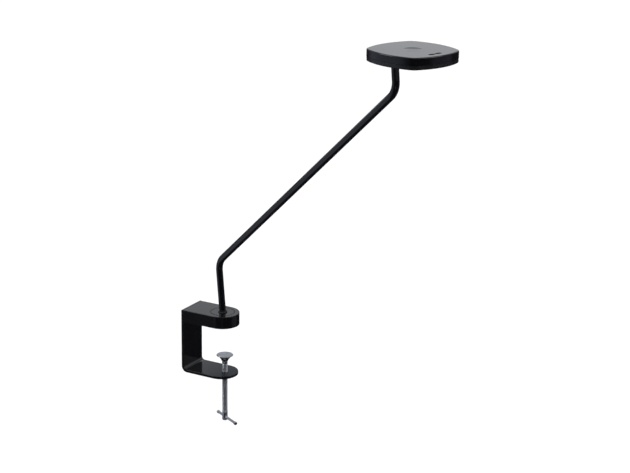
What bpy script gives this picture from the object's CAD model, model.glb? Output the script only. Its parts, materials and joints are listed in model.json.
"""Looks of the clamp-on desk lamp: studio, camera, materials and the pieces that need finer shapes.

Everything is in metres in the CAD frame: +Z up, origin on the arm's swivel axis at desktop level.
"""

import json
import math

import bmesh
import bpy
from mathutils import Matrix, Vector


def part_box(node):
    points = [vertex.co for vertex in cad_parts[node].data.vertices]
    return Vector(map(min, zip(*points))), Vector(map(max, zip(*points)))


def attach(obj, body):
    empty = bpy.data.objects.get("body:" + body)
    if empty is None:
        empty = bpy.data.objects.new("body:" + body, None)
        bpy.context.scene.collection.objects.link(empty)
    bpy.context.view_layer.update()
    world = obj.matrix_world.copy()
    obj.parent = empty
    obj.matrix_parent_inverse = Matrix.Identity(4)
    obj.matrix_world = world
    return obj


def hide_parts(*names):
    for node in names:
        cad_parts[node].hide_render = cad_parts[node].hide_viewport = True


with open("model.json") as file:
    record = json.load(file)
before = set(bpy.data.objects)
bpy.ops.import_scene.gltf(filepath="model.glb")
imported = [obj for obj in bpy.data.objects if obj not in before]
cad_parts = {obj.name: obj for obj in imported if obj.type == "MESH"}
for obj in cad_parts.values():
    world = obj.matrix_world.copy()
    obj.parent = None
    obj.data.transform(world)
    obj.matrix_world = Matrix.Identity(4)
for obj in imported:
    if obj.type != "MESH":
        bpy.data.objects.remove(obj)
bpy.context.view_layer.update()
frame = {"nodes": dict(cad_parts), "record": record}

MM = 0.001


# ---- camera -------------------------------------------------------------------------------------
camera_place = Vector((1.4852, -2.3351, 1.0191))
camera_azimuth = math.radians(29.10)
camera_pitch = math.radians(17.17)
camera_roll = math.radians(0.89)
camera_lens = 94.29


def make_camera():
    """The camera stands in front and to the right, looks down a little and is hardly rolled."""
    level = Vector((math.cos(camera_azimuth), math.sin(camera_azimuth), 0))
    back = Vector((
        math.sin(camera_azimuth) * math.cos(camera_pitch),
        -math.cos(camera_azimuth) * math.cos(camera_pitch),
        math.sin(camera_pitch),
    ))
    upright = back.cross(level)
    right = math.cos(camera_roll) * level + math.sin(camera_roll) * upright
    up = back.cross(right)
    camera = bpy.data.objects.new("camera", bpy.data.cameras.new("camera"))
    camera.data.lens = camera_lens
    camera.data.sensor_width = 36
    camera.data.clip_end = 200
    turn = Matrix((right, up, back)).transposed()
    camera.matrix_world = Matrix.Translation(camera_place) @ turn.to_4x4()
    bpy.context.collection.objects.link(camera)
    bpy.context.scene.camera = camera


# ---- studio -------------------------------------------------------------------------------------
floor_height = -2.5
floor_radius = 40.0
floor_corners = 96
floor_colour = (0.93, 0.93, 0.93, 1)
dark_room = (0.030, 0.030, 0.035)
low_ceiling = (0.84, 0.86, 0.90)
high_ceiling = (0.36, 0.37, 0.40)
floor_light = 1.3
room_ends = -0.06
ceiling_begins = 0.17
ceiling_fades = 0.60
light_size = 1.4
lamp_middle = Vector((0.2, -0.08, 0.2))


def direction(azimuth, elevation):
    """A unit vector from degrees, azimuth counted from +X towards +Y."""
    a = math.radians(azimuth)
    e = math.radians(elevation)
    return Vector((math.cos(a) * math.cos(e), math.sin(a) * math.cos(e), math.sin(e)))


# What the gloss paint mirrors: direction, half width in degrees, soft edge in degrees, colour.
# In order: the sloped tube's line, the head's left wall and right wall, a darker spot for the jaw's
# side, the screw's bright strip, a dark patch for the lower plate, and a strip for the top edges.
reflectors = [
    (direction(-143.7, -44), 5, 12, (0.90, 0.92, 1.0)),
    (direction(-151, -10.6), 20, 28, (0.37, 0.40, 0.50)),
    (direction(29, -10.6), 14, 14, (0.16, 0.15, 0.19)),
    (direction(-122.5, -21), 3, 5, (0.10, 0.10, 0.12)),
    (direction(-61, -27), 3.5, 2.5, (1.2, 1.2, 1.25)),
    (direction(121.9, 23.3), 1.1, 1.2, (0.10, 0.13, 0.18)),
    (direction(116, 40), 9, 5, (1.8, 1.8, 1.85)),
]


def make_world():
    """A ceiling over a dark room with a few reflectors. Matt surfaces and the camera see plain white."""
    world = bpy.data.worlds.new("studio")
    bpy.context.scene.world = world
    world.use_nodes = True
    tree = world.node_tree
    tree.nodes.clear()
    new, link = tree.nodes.new, tree.links.new
    ray = new("ShaderNodeTexCoord").outputs["Generated"]
    height = new("ShaderNodeSeparateXYZ")
    link(ray, height.inputs[0])
    rise = new("ShaderNodeMapRange")
    rise.interpolation_type = "SMOOTHSTEP"
    rise.inputs["From Min"].default_value = room_ends
    rise.inputs["From Max"].default_value = ceiling_begins
    link(height.outputs["Z"], rise.inputs["Value"])
    fall = new("ShaderNodeMapRange")
    fall.inputs["From Min"].default_value = ceiling_begins
    fall.inputs["From Max"].default_value = ceiling_fades
    link(height.outputs["Z"], fall.inputs["Value"])
    ceiling = blended(tree, fall.outputs["Result"], low_ceiling, high_ceiling)
    glow = blended(tree, rise.outputs["Result"], dark_room, ceiling)
    for axis, half_width, soft_edge, colour in reflectors:
        nearness = new("ShaderNodeVectorMath")
        nearness.operation = "DOT_PRODUCT"
        nearness.inputs[1].default_value = axis
        link(ray, nearness.inputs[0])
        edge = new("ShaderNodeMapRange")
        edge.interpolation_type = "SMOOTHSTEP"
        edge.inputs["From Min"].default_value = math.cos(math.radians(half_width + soft_edge))
        edge.inputs["From Max"].default_value = math.cos(math.radians(half_width))
        link(nearness.outputs["Value"], edge.inputs["Value"])
        glow = blended(tree, edge.outputs["Result"], glow, colour)
    room = new("ShaderNodeBackground")
    link(glow, room.inputs["Color"])
    sky = new("ShaderNodeBackground")
    sky.inputs["Color"].default_value = (1, 1, 1, 1)
    sky.inputs["Strength"].default_value = floor_light
    backdrop = new("ShaderNodeBackground")
    backdrop.inputs["Color"].default_value = (1, 1, 1, 1)
    rays = new("ShaderNodeLightPath")
    matt = new("ShaderNodeMixShader")
    link(rays.outputs["Is Diffuse Ray"], matt.inputs["Fac"])
    link(room.outputs[0], matt.inputs[1])
    link(sky.outputs[0], matt.inputs[2])
    seen = new("ShaderNodeMixShader")
    link(rays.outputs["Is Camera Ray"], seen.inputs["Fac"])
    link(matt.outputs[0], seen.inputs[1])
    link(backdrop.outputs[0], seen.inputs[2])
    link(seen.outputs[0], new("ShaderNodeOutputWorld").inputs["Surface"])


def blended(tree, factor, first, second):
    """A colour mix in tree; first and second are sockets or plain colours."""
    mix = tree.nodes.new("ShaderNodeMix")
    mix.data_type = "RGBA"
    tree.links.new(factor, mix.inputs["Factor"])
    for name, value in (("A", first), ("B", second)):
        socket = [s for s in mix.inputs if s.name == name and s.type == "RGBA"][0]
        if isinstance(value, bpy.types.NodeSocket):
            tree.links.new(value, socket)
        else:
            socket.default_value = (*value, 1)
    return [s for s in mix.outputs if s.type == "RGBA"][0]


def make_light(name, place, power, colour):
    """A square soft box that faces the lamp's middle."""
    data = bpy.data.lights.new(name, "AREA")
    data.shape = "SQUARE"
    data.size = light_size
    data.energy = power
    data.color = colour
    light = bpy.data.objects.new(name, data)
    light.location = place
    aim = lamp_middle - Vector(place)
    light.rotation_euler = aim.to_track_quat("-Z", "Y").to_euler()
    bpy.context.collection.objects.link(light)


def make_floor():
    """A wide pale floor, far enough below the clamp for the shadows to melt away."""
    shape = bmesh.new()
    bmesh.ops.create_circle(shape, cap_ends=True, segments=floor_corners, radius=floor_radius)
    mesh = bpy.data.meshes.new("floor")
    shape.to_mesh(mesh)
    shape.free()
    floor = bpy.data.objects.new("floor", mesh)
    floor.location.z = floor_height
    floor.visible_glossy = False
    bpy.context.collection.objects.link(floor)
    paint = bpy.data.materials.new("studio_floor")
    paint.use_nodes = True
    shader = paint.node_tree.nodes["Principled BSDF"]
    shader.inputs["Base Color"].default_value = floor_colour
    shader.inputs["Roughness"].default_value = 0.9
    mesh.materials.append(paint)


# ---- materials ----------------------------------------------------------------------------------
lower_third = 0.33
upper_third = 0.67
flat_face = 0.98
sharp_edge = 0.80
most_wear = 0.8
bevel_samples = 4


class Finish:
    """A procedural material: one shader, and layers that vary its colour, roughness and relief."""

    def __init__(self, name, colour, roughness, **constants):
        self.material = bpy.data.materials.new(name)
        self.material.use_nodes = True
        self.tree = self.material.node_tree
        self.shader = self.tree.nodes["Principled BSDF"]
        self.shader.inputs["Base Color"].default_value = (*colour, 1)
        self.shader.inputs["Roughness"].default_value = roughness
        for key, value in constants.items():
            self.shader.inputs[key.replace("_", " ")].default_value = value
        self.colour = tuple(colour)
        self.roughness = roughness
        self.place = self.tree.nodes.new("ShaderNodeTexCoord").outputs["Object"]
        self.normal = None

    def stretched(self, scale):
        """The place on the piece, stretched by scale along each axis."""
        mapping = self.tree.nodes.new("ShaderNodeMapping")
        mapping.inputs["Scale"].default_value = scale
        self.tree.links.new(self.place, mapping.inputs["Vector"])
        return mapping.outputs["Vector"]

    def noise(self, size, detail=3.0, place=None):
        """Cloudy noise whose features are about size metres across."""
        noise = self.tree.nodes.new("ShaderNodeTexNoise")
        noise.inputs["Scale"].default_value = 1 / size
        noise.inputs["Detail"].default_value = detail
        self.tree.links.new(place or self.place, noise.inputs["Vector"])
        return noise.outputs["Fac"]

    def spread(self, value, low, high, to_low, to_high):
        """value from low to high, mapped to to_low to to_high."""
        limits = self.tree.nodes.new("ShaderNodeMapRange")
        for name, number in (("From Min", low), ("From Max", high), ("To Min", to_low), ("To Max", to_high)):
            limits.inputs[name].default_value = number
        self.tree.links.new(value, limits.inputs["Value"])
        return limits.outputs["Result"]

    def vary_roughness(self, value, change):
        """Roughness rises by change where value goes from a third to two thirds."""
        rough = self.spread(value, lower_third, upper_third, self.roughness, self.roughness + change)
        self.tree.links.new(rough, self.shader.inputs["Roughness"])
        return self

    def vary_colour(self, value, other):
        """The colour turns to other where value goes from a third to two thirds."""
        share = self.spread(value, lower_third, upper_third, 0, 1)
        source = self.shader.inputs["Base Color"].links
        first = source[0].from_socket if source else self.colour
        self.tree.links.new(blended(self.tree, share, first, other), self.shader.inputs["Base Color"])
        return self

    def round_edges(self, radius):
        """Edges catch the light as if rounded by radius."""
        bevel = self.tree.nodes.new("ShaderNodeBevel")
        bevel.samples = bevel_samples
        bevel.inputs["Radius"].default_value = radius
        self.normal = bevel.outputs["Normal"]
        self.tree.links.new(self.normal, self.shader.inputs["Normal"])
        return self

    def worn_edges(self, radius, colour):
        """Edges rubbed to colour within about radius."""
        bevel = self.tree.nodes.new("ShaderNodeBevel")
        bevel.samples = bevel_samples
        bevel.inputs["Radius"].default_value = radius
        true_normal = self.tree.nodes.new("ShaderNodeNewGeometry").outputs["Normal"]
        nearness = self.tree.nodes.new("ShaderNodeVectorMath")
        nearness.operation = "DOT_PRODUCT"
        self.tree.links.new(bevel.outputs["Normal"], nearness.inputs[0])
        self.tree.links.new(true_normal, nearness.inputs[1])
        share = self.spread(nearness.outputs["Value"], flat_face, sharp_edge, 0, most_wear)
        source = self.shader.inputs["Base Color"].links
        first = source[0].from_socket if source else self.colour
        self.tree.links.new(blended(self.tree, share, first, colour), self.shader.inputs["Base Color"])
        return self

    def relief(self, value, height):
        """Relief of that height in metres, over what is there already."""
        bump = self.tree.nodes.new("ShaderNodeBump")
        bump.inputs["Distance"].default_value = height
        bump.inputs["Strength"].default_value = 1.0
        self.tree.links.new(value, bump.inputs["Height"])
        if self.normal:
            self.tree.links.new(self.normal, bump.inputs["Normal"])
        self.normal = bump.outputs["Normal"]
        self.tree.links.new(self.normal, self.shader.inputs["Normal"])
        return self


def gloss_paint(name, colour, roughness):
    """Sprayed gloss black: faint orange peel, handling marks and edges rubbed a little paler."""
    finish = Finish(name, colour, roughness, IOR=1.5)
    finish.vary_roughness(finish.noise(0.06, 5.0), 0.035)
    finish.vary_colour(finish.noise(0.09), tuple(c * 1.6 for c in colour))
    finish.worn_edges(0.35 * MM, (0.012, 0.012, 0.014))
    finish.round_edges(0.35 * MM)
    return finish.relief(finish.noise(0.9 * MM, 2.0), 0.0006 * MM)


def plated(name, colour, roughness, grain):
    """Plated or turned metal: fine grain, cloudy roughness and bright rubbed edges."""
    finish = Finish(name, colour, roughness, Metallic=1.0)
    finish.vary_colour(finish.noise(0.008, 4.0), tuple(c * 0.82 for c in colour))
    finish.vary_roughness(finish.noise(0.004, 4.0), 0.10)
    finish.worn_edges(0.2 * MM, tuple(min(1.0, c * 1.2) for c in colour))
    finish.round_edges(0.2 * MM)
    return finish.relief(finish.noise(grain, 3.0), 0.0015 * MM)


def turned(name, colour, roughness):
    """Lathe-turned or rolled metal, with fine rings across its upright axis."""
    finish = Finish(name, colour, roughness, Metallic=1.0)
    rings = finish.noise(0.4 * MM, 2.0, finish.stretched((0.05, 0.05, 3.0)))
    finish.vary_colour(finish.noise(0.010, 4.0), tuple(c * 0.8 for c in colour))
    finish.vary_roughness(rings, 0.12)
    finish.round_edges(0.2 * MM)
    return finish.relief(rings, 0.001 * MM)


def moulded(name, colour, roughness, texture, height):
    """Moulded plastic with a spark-eroded texture and slightly uneven gloss."""
    finish = Finish(name, colour, roughness, IOR=1.46)
    finish.vary_colour(finish.noise(0.03), tuple(min(1.0, c * 1.25) for c in colour))
    finish.vary_roughness(finish.noise(0.012, 4.0), 0.12)
    finish.worn_edges(0.3 * MM, tuple(min(1.0, c * 1.8 + 0.002) for c in colour))
    finish.round_edges(0.25 * MM)
    return finish.relief(finish.noise(texture, 3.0), height)


def rubber(name, colour):
    """Matt rubber with a dusty bloom."""
    finish = Finish(name, colour, 0.62, IOR=1.5)
    finish.vary_colour(finish.noise(0.014, 5.0), tuple(c * 1.8 for c in colour))
    finish.vary_roughness(finish.noise(0.005, 3.0), 0.2)
    finish.round_edges(0.3 * MM)
    return finish.relief(finish.noise(0.25 * MM, 3.0), 0.01 * MM)


def opal(name, colour):
    """Milky acrylic that lets light in, with a fine satin face."""
    finish = Finish(name, colour, 0.32, IOR=1.49, Subsurface_Weight=0.6, Subsurface_Scale=0.003)
    finish.shader.inputs["Subsurface Radius"].default_value = (1.0, 0.95, 0.9)
    finish.vary_colour(finish.noise(0.02), tuple(c * 0.95 for c in colour))
    finish.vary_roughness(finish.noise(0.006), 0.08)
    finish.round_edges(0.3 * MM)
    return finish.relief(finish.noise(0.3 * MM, 2.0), 0.002 * MM)


def board(name, colour, track):
    """A circuit board's mask, with tracks showing faintly through it."""
    finish = Finish(name, colour, 0.38, IOR=1.55)
    tracks = finish.noise(1.2 * MM, 1.0, finish.stretched((1.0, 0.12, 1.0)))
    finish.vary_colour(tracks, track)
    finish.vary_roughness(finish.noise(0.003), 0.1)
    finish.round_edges(0.15 * MM)
    return finish.relief(tracks, 0.015 * MM)


def make_materials():
    """One material for each slot of the record."""
    black = (0.0015, 0.0015, 0.0019)
    return {
        "gloss_black_paint": gloss_paint("gloss_black_paint", black, 0.07),
        "gloss_black_head": gloss_paint("gloss_black_head", black, 0.09),
        "zinc_steel": plated("zinc_steel", (0.58, 0.58, 0.57), 0.28, 0.3 * MM),
        "black_steel": plated("black_steel", (0.03, 0.03, 0.033), 0.30, 0.3 * MM),
        "bright_steel": turned("bright_steel", (0.62, 0.62, 0.62), 0.2),
        "black_rubber": rubber("black_rubber", (0.008, 0.008, 0.008)),
        "black_plastic": moulded("black_plastic", (0.004, 0.004, 0.0045), 0.20, 0.35 * MM, 0.002 * MM),
        "acetal": moulded("acetal", (0.75, 0.74, 0.70), 0.38, 0.5 * MM, 0.003 * MM),
        "cable_jacket": rubber("cable_jacket", (0.03, 0.03, 0.03)),
        "opal_plastic": opal("opal_plastic", (0.86, 0.86, 0.84)),
        "white_board": board("white_board", (0.85, 0.85, 0.83), (0.74, 0.74, 0.70)),
        "led_package": moulded("led_package", (0.93, 0.78, 0.28), 0.3, 0.4 * MM, 0.004 * MM),
        "bare_aluminium": turned("bare_aluminium", (0.72, 0.72, 0.73), 0.3),
        "circuit_board": board("circuit_board", (0.03, 0.16, 0.07), (0.05, 0.24, 0.10)),
        "copper_film": plated("copper_film", (0.72, 0.43, 0.25), 0.25, 0.5 * MM),
        "key_rubber": rubber("key_rubber", (0.004, 0.004, 0.005)),
        "chrome": plated("chrome", (0.55, 0.56, 0.58), 0.05, 0.5 * MM),
    }


# ---- clamp screw --------------------------------------------------------------------------------
cad_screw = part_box("clamp_screw")
cad_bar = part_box("tommy_bar")
screw_axis = ((cad_screw[0][0] + cad_screw[1][0]) / 2, (cad_screw[0][1] + cad_screw[1][1]) / 2)
screw_end = cad_screw[0][2]
plain_head = 17.5 * MM
plain_top = 4.9 * MM
pad_clearance = 0.6 * MM
ball_crown = 4.2 * MM
thread_bottom = screw_end + plain_head
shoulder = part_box("screw_pad")[0][2] - pad_clearance
thread_top = shoulder - plain_top
ball_height = cad_screw[1][2] - ball_crown
ball_radius = 4.15 * MM
ball_opening = 0.05
neck_radius = 2.95 * MM
shank_radius = 4.93 * MM
end_chamfer = 0.8 * MM
thread_pitch = 1.5 * MM
thread_depth = 0.85 * MM
flank_slope = 3.0
root_share = 0.25
sharp_corner = math.radians(35)
bore_corners = 48
tommy_height = (cad_bar[0][2] + cad_bar[1][2]) / 2
tommy_bore = 2.35 * MM
tommy_azimuth = math.radians(-28)
rows_per_turn = 10
ball_rows = 14
columns = 40


def thread_radius(height, angle):
    """The screw's radius at a height and angle: flat crests and roots with straight flanks."""
    phase = (height / thread_pitch - angle / math.tau) % 1.0
    flank = min(1.0, max(0.0, abs(phase - 0.5) * flank_slope - root_share))
    run_out = min(1.0, (height - thread_bottom) / thread_pitch, (thread_top - height) / thread_pitch)
    return shank_radius - thread_depth * (1 - flank) * max(0.0, run_out)


def screw_rows():
    """(height, radius at an angle) for each ring of the screw, from its end up to the ball's top."""
    plain = [
        (screw_end, shank_radius - end_chamfer),
        (screw_end + end_chamfer, shank_radius),
    ]
    rows = [(height, lambda angle, r=radius: r) for height, radius in plain]
    steps = round((thread_top - thread_bottom) / thread_pitch * rows_per_turn)
    for step in range(steps + 1):
        height = thread_bottom + (thread_top - thread_bottom) * step / steps
        rows.append((height, lambda angle, h=height: thread_radius(h, angle)))
    first = math.asin(neck_radius / ball_radius)
    top = [
        (shoulder - end_chamfer, shank_radius),
        (shoulder, shank_radius - end_chamfer),
        (shoulder, neck_radius),
    ]
    for step in range(ball_rows + 1):
        polar_angle = (math.pi - first) * (1 - step / ball_rows) + ball_opening * step / ball_rows
        top.append((
            ball_height + ball_radius * math.cos(polar_angle), ball_radius * math.sin(polar_angle)
        ))
    rows += [(height, lambda angle, r=radius: r) for height, radius in top]
    return rows


def lathe_grid(name, centre, profile_rows):
    """A closed round body: one ring of vertices for each (height, radius function)."""
    shape = bmesh.new()
    rings = []
    for height, radius_at in profile_rows:
        ring = []
        for column in range(columns):
            angle = math.tau * column / columns
            radius = radius_at(angle)
            ring.append(shape.verts.new((
                centre[0] + radius * math.cos(angle), centre[1] + radius * math.sin(angle), height
            )))
        rings.append(ring)
    for lower, upper in zip(rings, rings[1:]):
        for column in range(columns):
            after = (column + 1) % columns
            shape.faces.new((lower[column], lower[after], upper[after], upper[column]))
    shape.faces.new(reversed(rings[0]))
    shape.faces.new(rings[-1])
    mesh = bpy.data.meshes.new(name)
    shape.to_mesh(mesh)
    shape.free()
    piece = bpy.data.objects.new(name, mesh)
    bpy.context.collection.objects.link(piece)
    return piece


def cut_tommy_hole(piece):
    """Cuts the cross hole for the tommy bar through the screw's head."""
    shape = bmesh.new()
    bmesh.ops.create_cone(
        shape,
        cap_ends=True,
        segments=bore_corners,
        radius1=tommy_bore,
        radius2=tommy_bore,
        depth=4 * shank_radius,
    )
    mesh = bpy.data.meshes.new("tommy_cutter")
    shape.to_mesh(mesh)
    shape.free()
    cutter = bpy.data.objects.new("tommy_cutter", mesh)
    cutter.location = (*screw_axis, tommy_height)
    cutter.rotation_euler = (0, math.pi / 2, tommy_azimuth)
    bpy.context.collection.objects.link(cutter)
    cut = piece.modifiers.new("tommy_hole", "BOOLEAN")
    cut.object = cutter
    cut.operation = "DIFFERENCE"
    cut.solver = "EXACT"
    bpy.context.view_layer.update()
    seen = piece.evaluated_get(bpy.context.evaluated_depsgraph_get())
    piece.data = bpy.data.meshes.new_from_object(seen)
    piece.modifiers.clear()
    bpy.data.objects.remove(cutter)


def make_screw(finish):
    """The clamp screw with its thread cut, plain head, cross hole, neck and ball."""
    piece = lathe_grid("threaded_screw", screw_axis, screw_rows())
    cut_tommy_hole(piece)
    piece.data.shade_smooth()
    piece.data.set_sharp_from_angle(angle=sharp_corner)
    piece.data.materials.clear()
    piece.data.materials.append(finish)
    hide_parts("clamp_screw")
    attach(piece, "screw")


# ---- the scene ----------------------------------------------------------------------------------
make_camera()
make_world()
make_floor()
make_light("key_box", (-1.9, -1.5, 1.6), 30, (0.93, 0.96, 1.0))
make_light("fill_box", (2.3, 0.2, 1.3), 12, (1.0, 0.98, 0.97))
bpy.context.scene.view_settings.view_transform = "Standard"

materials = make_materials()
for row in frame["record"]["subparts"]:
    node = frame["nodes"][row["node"]]
    node.data.materials.clear()
    node.data.materials.append(materials[row["material_slot"]].material)

make_screw(materials["chrome"].material)
